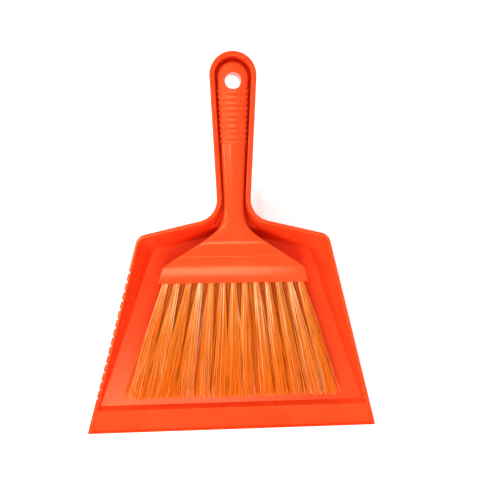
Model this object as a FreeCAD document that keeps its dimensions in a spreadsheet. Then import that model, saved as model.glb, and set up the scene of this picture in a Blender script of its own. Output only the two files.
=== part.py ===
import FreeCAD, Part
import os
import re

import Sketcher
from FreeCAD import Placement, Rotation, Vector

# A dust pan with a whisk brush that nests in it, in millimetres.
# +X runs across the pan, +Y from its lip to the end of its handle, +Z up.
# The origin is on the ground, midway along the pan. A "station" is a
# distance from the lip, measured along +Y.

SIZES = (
    ("overall_length", 320.0, "lip to the end of the pan handle"),
    ("lip_width", 254.0, "over the rims at the lip"),
    ("tray_length", 171.2, "lip to the rear corners of the tray"),
    ("shoulder_width", 158.2, "over the rims at the rear corners"),
    ("rear_crown", 18.4, "how far the rear wall bows back at the middle"),
    ("lip_rise", 2.7, "rim height at the lip"),
    ("shoulder_rise", 37.9, "rim height at the rear corners"),
    ("handle_slope", 0.0655, "rise of the handles for each unit of length"),
    ("wall", 2.0, "wall of the tray and of the handle channel"),
    ("floor_thickness", 2.0, "tray floor"),
    ("wall_draft", 18.0, "lean of the tray walls in degrees"),
    ("bead_height", 3.0, "depth of the rim bead"),
    ("bead_overhang", 1.0, "bead beyond the tray walls"),
    ("grip_bead_overhang", 2.3, "bead beyond the handle walls"),
    ("shoulder_radius", 10.0, "rear corners of the tray, in plan"),
    ("neck_radius", 18.0, "inside corners between tray and handle, in plan"),
    ("neck_width", 26.4, "pan handle over its beads where it leaves the tray"),
    ("handle_width", 38.4, "pan handle over its beads at the hanging end"),
    ("channel_depth", 17.0, "rim to the bottom of the handle channel"),
    ("ramp_length", 20.5, "lip to the crest of the ramp"),
    ("ramp_rise", 7.0, "height of the crest"),
    ("crest_run", 3.5, "length of the step from the crest down to the floor"),
    ("lip_edge", 0.8, "thickness of the lip at its front edge"),
    ("ramp_skin", 1.9, "thickness of the ramp"),
    ("ramp_end_wall", 12.0, "solid end of the ramp beside each side wall"),
    ("comb_start", 31.0, "station of the first comb notch"),
    ("comb_pitch", 7.8, "comb notches, along the pan"),
    ("comb_notch", 2.2, "width of a comb notch"),
    ("comb_depth", 1.5, "depth of a comb notch, from the outside of the bead"),
    ("hanging_hole", 13.3, "diameter of the hanging holes"),
    ("hole_setback", 23.4, "end of the pan handle to the hanging holes"),
    ("end_clearance", 3.5, "channel end to the end of the brush handle"),
    ("side_clearance", 2.2, "channel wall to the brush handle at its end"),
    ("neck_clearance", 1.2, "channel wall to the brush handle at its neck"),
    ("nest_clearance", 1.0, "channel bottom to the underside of the brush handle"),
    ("crown_rise", 1.2, "top of the brush handle above the pan rim"),
    ("head_width", 128.0, "brush head"),
    ("head_setback", 40.0, "rear corners of the tray to the front of the brush head"),
    ("head_side", 13.2, "length of the straight sides of the brush head"),
    ("head_clearance", 1.5, "tray floor to the underside of the brush head"),
    ("front_rise", 26.5, "top of the brush head at its front"),
    ("lower_crease_run", 22.4, "front of the head to its lower crease"),
    ("lower_crease_rise", 31.5, "height of the lower crease"),
    ("upper_crease_run", 33.6, "front of the head to its upper crease"),
    ("upper_crease_width", 56.4, "length of the upper crease"),
    ("flare_radius", 40.0, "inside corners between brush head and handle"),
    ("heel_setback", 4.8, "rear corners of the tray to the heel of the brush handle"),
    ("head_heel_run", 27.0, "front of the head to the heel of its underside"),
    ("edge_radius", 2.0, "rounded top edges of the brush"),
    ("core_wall", 2.6, "wall left around the cored undersides of the brush"),
    ("rib_pitch", 4.51, "grip ribs, along the brush handle"),
    ("rib_width", 2.4, "grip rib, along the brush handle"),
    ("rib_height", 0.7, "grip rib above the handle"),
    ("rib_start", 8.1, "hanging hole to the first grip rib"),
    ("tuft_pitch", 9.5, "tufts in a row, at the brush head"),
    ("tuft_splay", 13.7, "tufts in a row, at their tips"),
    ("row_gap", 6.5, "rows of tufts, at the brush head"),
    ("tip_row_gap", 5.0, "rows of tufts, at their tips"),
    ("middle_row_rise", 15.0, "middle row of tufts at the brush head"),
    ("tip_row_rise", 10.2, "middle row of tufts at the tips"),
    ("bristle_gap", 8.0, "foot of the crest to the bristle tips"),
    ("tuft_hole", 5.2, "diameter of a tuft hole"),
    ("tuft_hole_depth", 11.0, "depth of a tuft hole"),
    ("tuft_clearance", 0.15, "tuft to the wall and to the bottom of its hole"),
    ("tip_clearance", 0.3, "tuft to its neighbours at the tips"),
    ("anchor_bite", 0.7, "how far an anchor cuts into the head on each side"),
    ("anchor_thickness", 0.4, "anchor plate"),
    ("anchor_length", 2.0, "anchor plate, along its tuft"),
    ("anchor_inset", 0.7, "bottom of the tuft hole to its anchor"),
    ("anchor_clearance", 0.05, "anchor to the slot it sits in"),
)
COMB_NOTCHES = 15
GRIP_RIBS = 10
TUFT_ROWS = (("upper", 1, 13), ("middle", 0, 12), ("lower", -1, 13))

# Values that follow from the sheet. Runs and slopes are per unit of length.
DERIVED = (
    ("front", "-Sizes.overall_length / 2"),
    ("lean", "tan(Sizes.wall_draft)"),
    ("rim_slope", "(Sizes.shoulder_rise - Sizes.lip_rise) / Sizes.tray_length"),
    ("side_run", "(Sizes.lip_width - Sizes.shoulder_width) / 2 / Sizes.tray_length"),
    ("rear_run", "Sizes.rear_crown / (Sizes.shoulder_width / 2)"),
    ("ceiling", "2 * Sizes.shoulder_rise + Sizes.overall_length * Sizes.handle_slope"),
    ("end_station", "Sizes.overall_length - Sizes.handle_width / 2"),
    ("root_station", "Sizes.tray_length + Sizes.rear_crown - rear_run * Sizes.neck_width / 2"),
    ("rim_at_zero", "Sizes.shoulder_rise - Sizes.tray_length * Sizes.handle_slope"),
    ("foot_half", "Sizes.lip_width / 2 - Sizes.bead_overhang - Sizes.lip_rise * lean"),
    ("foot_run", "side_run + rim_slope * lean"),
    ("foot_shoulder", "Sizes.tray_length - Sizes.bead_overhang - lean * Sizes.shoulder_rise"),
    ("foot_crown", "Sizes.rear_crown * (1 - lean * Sizes.handle_slope)"),
    ("foot_apex", "foot_shoulder + foot_crown"),
    ("foot_rear_run", "foot_crown / (Sizes.shoulder_width / 2)"),
    ("corner_half", "(foot_half - foot_run * foot_apex) / (1 - foot_run * foot_rear_run)"),
    ("corner_station", "foot_apex - foot_rear_run * corner_half"),
    ("wall_run", "Sizes.wall / cos(Sizes.wall_draft)"),
    ("crest_foot", "Sizes.ramp_length + Sizes.crest_run"),
    ("grip_wall", "Sizes.wall + Sizes.grip_bead_overhang"),
    ("hole_station", "Sizes.overall_length - Sizes.hole_setback"),
    ("head_station", "Sizes.tray_length - Sizes.head_setback"),
    ("lower_crease_station", "head_station + Sizes.lower_crease_run"),
    ("upper_crease_station", "head_station + Sizes.upper_crease_run"),
    ("head_base", "Sizes.floor_thickness + Sizes.head_clearance"),
    ("brush_end_half", "Sizes.handle_width / 2 - grip_wall - Sizes.side_clearance"),
    ("brush_end_station", "Sizes.overall_length - grip_wall - Sizes.end_clearance - brush_end_half"),
    ("brush_neck_half", "Sizes.neck_width / 2 - grip_wall - Sizes.neck_clearance"),
    ("handle_run", "(Sizes.handle_width - Sizes.neck_width) / 2 / (end_station - root_station)"),
    ("brush_run", "(brush_end_half - brush_neck_half) / (brush_end_station - root_station)"),
    ("brush_drop", "Sizes.channel_depth - Sizes.nest_clearance"),
    ("heel_station", "Sizes.tray_length + Sizes.heel_setback"),
    ("flare_station", "upper_crease_station + Sizes.upper_crease_width / 2 - brush_neck_half"),
    ("core_station", "head_station + Sizes.tuft_hole_depth + Sizes.core_wall"),
    ("trim_station", "crest_foot + Sizes.bristle_gap"),
)

SIDEWAYS = Placement(Vector(0, 0, 0), Rotation(Vector(1, 1, 1), 120))

doc = FreeCAD.newDocument("DustPanAndBrush")
sheet = doc.addObject("Spreadsheet::Sheet", "Sizes")
for row, (alias, number, meaning) in enumerate(SIZES, start=1):
    sheet.set(f"A{row}", meaning)
    sheet.set(f"B{row}", str(number))
    sheet.setAlias(f"B{row}", alias)
doc.recompute()

derived = doc.addObject("App::VarSet", "Derived")
for alias, formula in DERIVED:
    derived.addProperty("App::PropertyFloat", alias, "Derived")
    derived.setExpression(alias, formula)
    doc.recompute()

ALIASES = {alias: "Sizes." + alias for alias, number, meaning in SIZES}
ALIASES.update({alias: "Derived." + alias for alias, formula in DERIVED})


def on_sheet(formula):
    """Write a formula's plain names as references to the sheet's cells."""
    return re.sub(r"[a-z_]+", lambda word: ALIASES.get(word.group(), word.group()), formula)


def value(formula):
    """Return the number that a formula gives now."""
    return float(sheet.evalExpression(on_sheet(formula)))


def bind(thing, **formulas):
    """Bind properties of an object to formulas on the sheet."""
    for name, formula in formulas.items():
        thing.setExpression(name, on_sheet(formula))


def rim(station, drop="0"):
    """Height below the handles' rim line at a station."""
    return f"rim_at_zero + ( {station} ) * handle_slope - ( {drop} )"


def outline(name, corners, placement=Placement()):
    """Closed sketch of straight lines; each corner is two formulas."""
    sketch = doc.addObject("Sketcher::SketchObject", name)
    sketch.Placement = placement
    points = [Vector(value(across), value(along), 0) for across, along in corners]
    count = len(points)
    for index in range(count):
        sketch.addGeometry(Part.LineSegment(points[index], points[(index + 1) % count]), False)
    for index in range(count):
        sketch.addConstraint(Sketcher.Constraint("Coincident", index, 2, (index + 1) % count, 1))
    for index, (across, along) in enumerate(corners):
        for kind, formula in (("DistanceX", across), ("DistanceY", along)):
            number = sketch.addConstraint(Sketcher.Constraint(kind, index, 1, value(formula)))
            sketch.setExpression(f"Constraints[{number}]", on_sheet(formula))
    return sketch


def plan(name, halves):
    """Outline seen from above, the same on both sides of the middle.

    halves lists (half width, station) formulas along the +X side.
    """
    right = [(half, f"{station} + front") for half, station in halves]
    left = [(f"- ( {half} )", station) for half, station in reversed(right) if half != "0"]
    return outline(name, right + left)


def profile(name, corners):
    """Outline seen from the side: (station, height) formulas."""
    return outline(name, [(f"{station} + front", height) for station, height in corners], SIDEWAYS)


def extrude(name, base, length, both_ways=False, lean=None):
    """Solid swept from an outline along its normal."""
    solid = doc.addObject("Part::Extrusion", name)
    solid.Base = base
    solid.DirMode = "Normal"
    solid.Solid = True
    solid.Symmetric = both_ways
    bind(solid, LengthFwd=length)
    if lean:
        bind(solid, TaperAngle=lean)
    return solid


def across(name, corners, width="2 * lip_width"):
    """Prism with a side-view outline, across the whole pan."""
    return extrude(name, profile(name + "_profile", corners), width, both_ways=True)


def post(name, radius, station, rise="0", length="ceiling"):
    """Upright cylinder on the middle line."""
    cylinder = doc.addObject("Part::Cylinder", name)
    bind(cylinder, Radius=radius, Height=length)
    cylinder.setExpression(".Placement.Base.y", on_sheet(f"{station} + front"))
    cylinder.setExpression(".Placement.Base.z", on_sheet(rise))
    return cylinder


def join(name, *pieces):
    """Union of solids."""
    union = doc.addObject("Part::MultiFuse", name)
    union.Shapes = list(pieces)
    union.Refine = True
    return union


def meet(name, *pieces):
    """What all the solids share."""
    common = doc.addObject("Part::MultiCommon", name)
    common.Shapes = list(pieces)
    return common


def cut(name, base, tool):
    """Base without the tool."""
    difference = doc.addObject("Part::Cut", name)
    difference.Base = base
    difference.Tool = tool
    return difference


def together(name, pieces):
    """Separate solids in one object."""
    group = doc.addObject("Part::Compound", name)
    group.Links = list(pieces)
    return group


def round_edges(name, base, radius, wanted):
    """Round the edges of a solid for which wanted(edge) is true."""
    doc.recompute()
    size = value(radius)
    edges = enumerate(base.Shape.Edges, start=1)
    chosen = [(number, size, size) for number, edge in edges if wanted(edge)]
    if not chosen:
        raise RuntimeError(f"{name}: no edge to round")
    rounded = doc.addObject("Part::Fillet", name)
    rounded.Base = base
    rounded.Edges = chosen
    return rounded


def upright(half, station, reach=3.0):
    """Test for steep edges whose foot is near a corner of a plan outline."""
    corner = Vector(value(half), value(f"{station} + front"), 0)

    def near(edge):
        ends = sorted((vertex.Point for vertex in edge.Vertexes), key=lambda point: point.z)
        if len(ends) < 2 or ends[0].distanceToPoint(ends[1]) > 1.2 * (ends[1].z - ends[0].z):
            return False
        low = ends[0]
        off_middle = abs(low.x) > corner.x / 2
        return off_middle and abs(abs(low.x) - corner.x) < reach and abs(low.y - corner.y) < reach
    return near


def around_top(solid):
    """Test for the edges of the faces that look up."""
    doc.recompute()
    tops = [face for face in solid.Shape.Faces if face.normalAt(0.5, 0.5).z > 0.5]
    return lambda edge: any(edge.isSame(border) for face in tops for border in face.Edges)


def build_pan():
    """Tray with drafted walls, a beaded rim, a ramp and a channelled handle."""
    rim_plan = [
        ("lip_width / 2", "0"), ("shoulder_width / 2", "tray_length"),
        ("neck_width / 2", "root_station"), ("handle_width / 2", "end_station"),
    ]
    foot_plan = [("foot_half", "0"), ("corner_half", "corner_station"), ("0", "foot_apex")]

    under_rim = across("under_rim", [
        ("0", "0"), ("0", "lip_rise"), ("tray_length", "shoulder_rise"),
        ("overall_length + 10", rim("overall_length + 10")), ("overall_length + 10", "0"),
    ])
    bead_band = across("bead_band", [
        ("0", "0"), ("0", "lip_rise"), ("tray_length", "shoulder_rise"),
        ("overall_length + 10", rim("overall_length + 10")),
        ("overall_length + 10", rim("overall_length + 10", "bead_height")),
        ("tray_length", "shoulder_rise - bead_height"),
        ("bead_height / rim_slope", "0"),
    ])
    over_channel = across("over_channel", [
        ("corner_station", rim("corner_station", "channel_depth + wall")),
        ("overall_length + 10", rim("overall_length + 10", "channel_depth + wall")),
        ("overall_length + 10", "ceiling"), ("corner_station", "ceiling"),
    ])
    in_channel = across("in_channel", [
        ("corner_station", rim("corner_station", "channel_depth")),
        ("overall_length + 10", rim("overall_length + 10", "channel_depth")),
        ("overall_length + 10", "ceiling"), ("corner_station", "ceiling"),
    ])
    above_floor = across("above_floor", [
        ("-30", "lip_edge"), ("0", "lip_edge"), ("ramp_length", "ramp_rise"),
        ("crest_foot", "floor_thickness"), ("overall_length", "floor_thickness"),
        ("overall_length", "ceiling"), ("-30", "ceiling"),
    ])
    under_ramp = across("under_ramp", [
        ("ramp_skin * 2", "-1"), ("ramp_skin * 2", "0"),
        ("ramp_length - ramp_skin / 2", "ramp_rise - ramp_skin * 1.15"),
        ("crest_foot - ramp_skin", "0"), ("crest_foot - ramp_skin", "-1"),
    ], "lip_width - 2 * ramp_end_wall")

    def handle(name, inset, wall_profile):
        """Straight-sided handle block with a round end."""
        sides = plan(name + "_plan", [
            (f"neck_width / 2 - {inset} - handle_run * (root_station - corner_station)", "corner_station"),
            (f"handle_width / 2 - {inset}", "end_station"),
        ])
        block = extrude(name + "_block", sides, "ceiling")
        end = post(name + "_end", f"handle_width / 2 - {inset}", "end_station")
        return meet(name, join(name + "_solid", block, end), wall_profile)

    tray_outside = extrude("tray_outside", plan("foot_plan", foot_plan), "ceiling", lean="wall_draft")
    tray_rounded = round_edges(
        "tray_rounded", tray_outside, "shoulder_radius", upright("corner_half", "corner_station"))
    inner_plan = doc.addObject("Part::Offset2D", "inner_plan")
    inner_plan.Source = doc.getObject("foot_plan")
    inner_plan.Join = "Intersection"
    bind(inner_plan, Value="- wall_run")
    tray_inside = extrude("tray_inside", inner_plan, "ceiling", lean="wall_draft")
    reach = value("wall_run") * 2 + 1
    inside_rounded = round_edges(
        "inside_rounded", tray_inside, "shoulder_radius - wall",
        upright("corner_half", "corner_station", reach))

    outer_handle = handle("outer_handle", "grip_bead_overhang", over_channel)
    inner_handle = handle("inner_handle", "grip_wall", in_channel)

    wall_union = meet("wall_union", join("wall_stock", tray_rounded, outer_handle), under_rim)
    walls = round_edges(
        "walls", wall_union, "neck_radius + bead_overhang",
        upright("neck_width / 2 - grip_bead_overhang", "root_station", 12.0))

    rim_sides = extrude("rim_sides", plan("rim_plan", rim_plan), "ceiling")
    rim_shoulders = round_edges(
        "rim_shoulders", rim_sides, "shoulder_radius", upright("shoulder_width / 2", "tray_length"))
    rim_necks = round_edges(
        "rim_necks", rim_shoulders, "neck_radius", upright("neck_width / 2", "root_station"))
    rim_end = post("rim_end", "handle_width / 2", "end_station")
    bead = meet("bead", join("rim_union", rim_necks, rim_end), bead_band)

    tray_cavity = meet("tray_cavity", inside_rounded, above_floor)
    below_rim_tops = across("below_rim_tops", [
        ("-30", "0"), ("-30", "lip_rise + wall"), ("0", "lip_rise + wall"),
        ("tray_length", "shoulder_rise + wall"),
        ("overall_length + 10", rim("overall_length + 10", "- wall")),
        ("overall_length + 10", "0"),
    ])
    cavity_union = meet(
        "cavity_union", join("cavity_stock", tray_cavity, inner_handle), below_rim_tops)
    cavity = round_edges(
        "cavity", cavity_union, "neck_radius + bead_overhang + wall",
        upright("neck_width / 2 - grip_wall", "root_station", 14.0))

    notches = []
    for number in range(COMB_NOTCHES):
        notch = doc.addObject("Part::Box", f"comb_notch_{number + 1:02d}")
        bind(notch, Length="comb_depth + 10", Width="comb_notch", Height="ceiling")
        station = f"( comb_start + {number} * comb_pitch )"
        notch.setExpression(
            ".Placement.Base.x", on_sheet(f"side_run * {station} - lip_width / 2 - 10"))
        notch.setExpression(".Placement.Base.y", on_sheet(f"{station} + front"))
        notches.append(notch)
    solid = join("pan_union", walls, bead)
    tools = (
        ("pan_open", cavity), ("pan_ramp", under_ramp),
        ("pan_comb", together("comb_notches", notches)), ("pan_bored", hanging_bore("pan_bore")),
    )
    for name, tool in tools:
        solid = cut(name, solid, tool)
    return solid


def hanging_bore(name):
    """Drill for a hanging hole, square to the slope of the handles."""
    drill = doc.addObject("Part::Cylinder", name)
    bind(drill, Radius="hanging_hole / 2", Height="ceiling")
    drill.setExpression(".Placement.Base.y", on_sheet("hole_station + front + handle_slope * ceiling / 4"))
    drill.setExpression(".Placement.Base.z", on_sheet(rim("hole_station", "ceiling / 4")))
    drill.setExpression(".Placement.Rotation.Angle", on_sheet("atan( handle_slope )"))
    drill.setExpression(".Placement.Rotation.Axis.x", "1")
    drill.setExpression(".Placement.Rotation.Axis.y", "0")
    drill.setExpression(".Placement.Rotation.Axis.z", "0")
    return drill


def build_brush_body():
    """Ribbed handle flaring into a tiered head, cored from below."""
    head_plan = [
        ("head_width / 2", "head_station"),
        ("head_width / 2 - head_side * side_run", "head_station + head_side"),
        ("upper_crease_width / 2", "upper_crease_station"),
        ("0", "upper_crease_station + upper_crease_width / 2"),
    ]
    top = [
        ("head_station", "front_rise"), ("lower_crease_station", "lower_crease_rise"),
        ("upper_crease_station", rim("upper_crease_station", "- crown_rise")),
        ("overall_length", rim("overall_length", "- crown_rise")),
    ]
    bottom = [
        ("overall_length", rim("overall_length", "brush_drop")),
        ("heel_station", rim("heel_station", "brush_drop")),
        ("head_station + head_heel_run", "head_base"), ("head_station", "head_base"),
    ]

    def blank(name, grow):
        """Head and handle before any rounding, grown all round by a margin."""
        head = extrude(name + "_head", plan(name + "_head_plan", head_plan), "ceiling")
        handle_plan = [
            (f"brush_neck_half + {grow} - brush_run * (root_station - heel_station)", "heel_station"),
            (f"brush_end_half + {grow}", "brush_end_station"),
        ]
        handle = extrude(name + "_handle", plan(name + "_handle_plan", handle_plan), "ceiling")
        end = post(name + "_end", f"brush_end_half + {grow}", "brush_end_station")
        return join(name, head, handle, end)

    raised = [(station, f"{height} + rib_height") for station, height in top[2:]]
    whole = blank("brush_blank", "0")
    flared = round_edges(
        "brush_flared", whole, "flare_radius", upright("brush_neck_half", "flare_station", 12.0))
    sheared = meet("brush_sheared", flared, across("brush_side", top + bottom))
    body = round_edges("brush_rounded", sheared, "edge_radius", around_top(sheared))
    rib_side = across("rib_side", raised + bottom[:2])
    rib_sheared = meet("rib_sheared", blank("rib_stock", "rib_height"), rib_side)
    rib_blank = round_edges("rib_rounded", rib_sheared, "edge_radius + rib_height", around_top(rib_sheared))

    slabs = []
    for number in range(GRIP_RIBS):
        slab = doc.addObject("Part::Box", f"rib_slab_{number + 1:02d}")
        bind(slab, Length="handle_width", Width="rib_width", Height="ceiling")
        station = f"hole_station - rib_start - {number} * rib_pitch - rib_width / 2"
        slab.setExpression(".Placement.Base.x", on_sheet("- handle_width / 2"))
        slab.setExpression(".Placement.Base.y", on_sheet(f"{station} + front"))
        slabs.append(slab)
    ribs = meet("grip_ribs", rib_blank, together("rib_slabs", slabs))

    lowered = [(station, f"{height} - core_wall") for station, height in top[1:]]
    core_stock = join(
        "core_stock",
        extrude("head_core", plan("head_core_plan", [
            ("upper_crease_width / 2 + 2 * core_wall", "core_station"),
            ("upper_crease_width / 2 - 2 * core_wall", "upper_crease_station - core_wall"),
        ]), "ceiling"),
        extrude("handle_core", plan("handle_core_plan", [
            ("brush_neck_half - core_wall", "root_station"),
            ("brush_end_half - core_wall", "hole_station - hanging_hole / 2 - 2 * core_wall"),
        ]), "ceiling"))
    core = meet("brush_core", core_stock, across("core_side", lowered + [
        ("overall_length", "0"), ("lower_crease_station", "0")]))

    solid = join("brush_union", body, ribs)
    for name, tool in (("brush_cored", core), ("brush_bored", hanging_bore("brush_bore"))):
        solid = cut(name, solid, tool)
    return solid


def plate(name, aim, depth, length, width, height):
    """Box centred on a tuft's axis, its foot a depth below the face of the head."""
    solid = doc.addObject("Part::Box", name)
    bind(solid, Length=length, Width=width, Height=height)
    corner = Vector(-value(length) / 2, -value(width) / 2, -value(depth))
    solid.Placement = aim * Placement(corner, Rotation())
    return solid


def aim_of_tuft(offset, level):
    """Where a tuft leaves the head and which way it points, and where it ends."""
    root = Vector(
        offset * value("tuft_pitch"), value("head_station + front"),
        value(f"middle_row_rise + {level} * row_gap"))
    tip = Vector(
        offset * value("tuft_splay"), value("trim_station + front"),
        value(f"tip_row_rise + {level} * tip_row_gap"))
    outward = tip - root
    turn = Rotation(Vector(1, 0, 0), Vector(0, 0, 1), outward, "ZXY")
    return Placement(root, turn), tip


def build_tuft(name, aim, tip):
    """One tuft: a round root folded over its anchor, fanning to a flat tip."""
    root = doc.addObject("Part::Cylinder", name + "_root")
    bind(root, Radius="tuft_hole / 2 - tuft_clearance", Height="tuft_hole_depth - tuft_clearance")
    root.Placement = aim * Placement(Vector(0, 0, -value("tuft_hole_depth - tuft_clearance")), Rotation())
    mouth = doc.addObject("Part::Circle", name + "_mouth")
    bind(mouth, Radius="tuft_hole / 2 - tuft_clearance")
    mouth.Placement = aim
    trim = doc.addObject("Part::Ellipse", name + "_trim")
    bind(
        trim,
        MajorRadius="(tuft_splay - tip_clearance) / 2",
        MinorRadius="(tip_row_gap - tip_clearance) / 2",
    )
    trim.Placement = Placement(tip, Rotation(Vector(0, 0, 1), Vector(0, -1, 0)))
    fan = doc.addObject("Part::Loft", name + "_fan")
    fan.Sections = [mouth, trim]
    fan.Solid = True
    fan.Ruled = True
    window = plate(
        name + "_window", aim, "tuft_hole_depth - anchor_inset + anchor_clearance",
        "tuft_hole + 2 * anchor_bite", "anchor_thickness + 2 * anchor_clearance",
        "anchor_length + 2 * anchor_clearance")
    return cut(name, join(name + "_whole", root, fan), window)


def build_head(body):
    """Drill the head for its tufts; return it with the tufts and their anchors."""
    tufts = []
    drills = []
    slots = []
    anchors = []
    for row, level, count in TUFT_ROWS:
        for number in range(count):
            aim, tip = aim_of_tuft(number - (count - 1) / 2, level)
            label = f"tuft_{row}_{number + 1:02d}"
            tufts.append((label, build_tuft(label, aim, tip)))
            drill = doc.addObject("Part::Cylinder", f"{label}_drill")
            bind(drill, Radius="tuft_hole / 2", Height="2 * tuft_hole_depth")
            drill.Placement = aim * Placement(Vector(0, 0, -value("tuft_hole_depth")), Rotation())
            drills.append(drill)
            slots.append(plate(
                f"{label}_slot", aim, "tuft_hole_depth - anchor_inset + anchor_clearance",
                "tuft_hole + 2 * anchor_bite + 2 * anchor_clearance",
                "anchor_thickness + 2 * anchor_clearance", "anchor_length + 2 * anchor_clearance"))
            anchors.append(plate(
                f"{label}_anchor", aim, "tuft_hole_depth - anchor_inset",
                "tuft_hole + 2 * anchor_bite", "anchor_thickness", "anchor_length"))
    drilled = cut("brush_drilled", body, together("tuft_drills", drills))
    slotted = cut("brush_slotted", drilled, together("anchor_slots", slots))
    return [("brush_body", slotted), ("tuft_anchors", together("anchors", anchors))] + tufts


nodes = [("dustpan", build_pan())] + build_head(build_brush_body())
doc.recompute()

for item in doc.Objects:
    if "Invalid" in item.State or "Error" in item.State:
        raise RuntimeError(f"{item.Name} failed: {item.State}")
for label, item in nodes:
    item.Label = label
    if item.Shape.isNull() or not item.Shape.isValid():
        raise RuntimeError(f"{label} has no valid shape")

os.makedirs("parts", exist_ok=True)
for label, item in nodes:
    item.Shape.exportStep(f"parts/{label}.step")
    print(f"{label}: {len(item.Shape.Solids)} solid(s), {item.Shape.Volume:.1f} cubic mm")
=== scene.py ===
"""Looks of a dust pan and brush set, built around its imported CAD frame.

Everything is in metres. +X runs across the pan, +Y from its lip to the end of
its handle, and +Z up. The pan and the brush body are finished shells that stand
for their CAD nodes, and each tuft is a bundle of separate filaments.
"""

import logging
import math
import random
from collections.abc import Callable
from dataclasses import dataclass, field
from enum import Enum

import bmesh
import bpy
import numpy as np
from mathutils import Euler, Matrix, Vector


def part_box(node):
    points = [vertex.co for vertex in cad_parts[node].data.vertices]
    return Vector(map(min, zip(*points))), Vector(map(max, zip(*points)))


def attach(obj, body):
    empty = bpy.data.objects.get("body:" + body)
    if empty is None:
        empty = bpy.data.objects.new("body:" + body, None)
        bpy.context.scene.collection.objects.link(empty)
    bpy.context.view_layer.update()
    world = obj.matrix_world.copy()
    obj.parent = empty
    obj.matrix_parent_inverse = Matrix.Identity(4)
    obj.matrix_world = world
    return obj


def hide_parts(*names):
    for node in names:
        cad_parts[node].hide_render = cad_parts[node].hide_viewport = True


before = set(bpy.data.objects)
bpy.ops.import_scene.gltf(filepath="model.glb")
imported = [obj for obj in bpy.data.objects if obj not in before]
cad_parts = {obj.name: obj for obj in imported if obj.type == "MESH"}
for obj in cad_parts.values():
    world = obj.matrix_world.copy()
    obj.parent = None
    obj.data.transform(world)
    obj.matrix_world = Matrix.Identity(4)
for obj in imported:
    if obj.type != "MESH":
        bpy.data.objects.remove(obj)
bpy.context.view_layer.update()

MM = 0.001
LOG = logging.getLogger("dust_pan_set")

Colour = tuple[float, float, float]
Point = tuple[float, float, float]
Socket = bpy.types.NodeSocket
Tree = bpy.types.NodeTree


class Slot(Enum):
    """Material slots of the record."""

    PAN = "pan_plastic"
    BRUSH = "brush_plastic"
    BRISTLE = "bristle"
    ANCHOR = "anchor_metal"


class Body(Enum):
    """Rigid bodies of the frame."""

    PAN = "pan"
    BRUSH = "brush"


# ---------------------------------------------------------------- node tools


def link(tree: Tree, source: Socket, target: Socket) -> None:
    """Join two sockets."""
    tree.links.new(source, target)


def new_group(name: str, inputs: dict[str, float], outputs: dict[str, str]) -> Tree:
    """Start a shader node group.

    Args:
        name: the group's name.
        inputs: float inputs and their defaults.
        outputs: output names and their socket types.

    Returns:
        The node tree, with its input and output nodes in place.
    """
    tree = bpy.data.node_groups.new(name, "ShaderNodeTree")
    for label, default in inputs.items():
        socket = tree.interface.new_socket(label, in_out="INPUT", socket_type="NodeSocketFloat")
        socket.default_value = default
    for label, kind in outputs.items():
        tree.interface.new_socket(label, in_out="OUTPUT", socket_type=kind)
    tree.nodes.new("NodeGroupInput").name = "in"
    tree.nodes.new("NodeGroupOutput").name = "out"
    return tree


def noise(
    tree: Tree, scale: float, detail: float, stretch: Point = (1.0, 1.0, 1.0), distortion: float = 0.0,
) -> bpy.types.Node:
    """Noise texture on Object coordinates, stretched along the axes.

    Args:
        tree: where the nodes go.
        scale: features per metre.
        detail: octaves.
        stretch: factor on each axis.
        distortion: how much the noise folds over itself.

    Returns:
        The noise node.
    """
    place = tree.nodes.new("ShaderNodeTexCoord")
    mapping = tree.nodes.new("ShaderNodeMapping")
    mapping.inputs["Scale"].default_value = stretch
    texture = tree.nodes.new("ShaderNodeTexNoise")
    texture.inputs["Scale"].default_value = scale
    texture.inputs["Detail"].default_value = detail
    texture.inputs["Distortion"].default_value = distortion
    link(tree, place.outputs["Object"], mapping.inputs["Vector"])
    link(tree, mapping.outputs["Vector"], texture.inputs["Vector"])
    return texture


def remap(tree: Tree, source: Socket, low: float, high: float, to_low: float, to_high: float) -> Socket:
    """Map a value from one range to another, clamped.

    Args:
        tree: where the node goes.
        source: the value.
        low: start of the range that is read.
        high: end of the range that is read.
        to_low: what low becomes.
        to_high: what high becomes.

    Returns:
        The socket with the new value.
    """
    node = tree.nodes.new("ShaderNodeMapRange")
    limits = {"From Min": low, "From Max": high, "To Min": to_low, "To Max": to_high}
    for label, number in limits.items():
        node.inputs[label].default_value = number
    link(tree, source, node.inputs["Value"])
    return node.outputs["Result"]


def combine(tree: Tree, operation: str, first: Socket, second: Socket | float) -> Socket:
    """Combine two values.

    Args:
        tree: where the node goes.
        operation: Blender's name of the operation.
        first: the first value.
        second: the second value, a socket or a number.

    Returns:
        The result's socket.
    """
    node = tree.nodes.new("ShaderNodeMath")
    node.operation = operation
    link(tree, first, node.inputs[0])
    if isinstance(second, (int, float)):
        node.inputs[1].default_value = second
    else:
        link(tree, second, node.inputs[1])
    return node.outputs[0]


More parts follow.
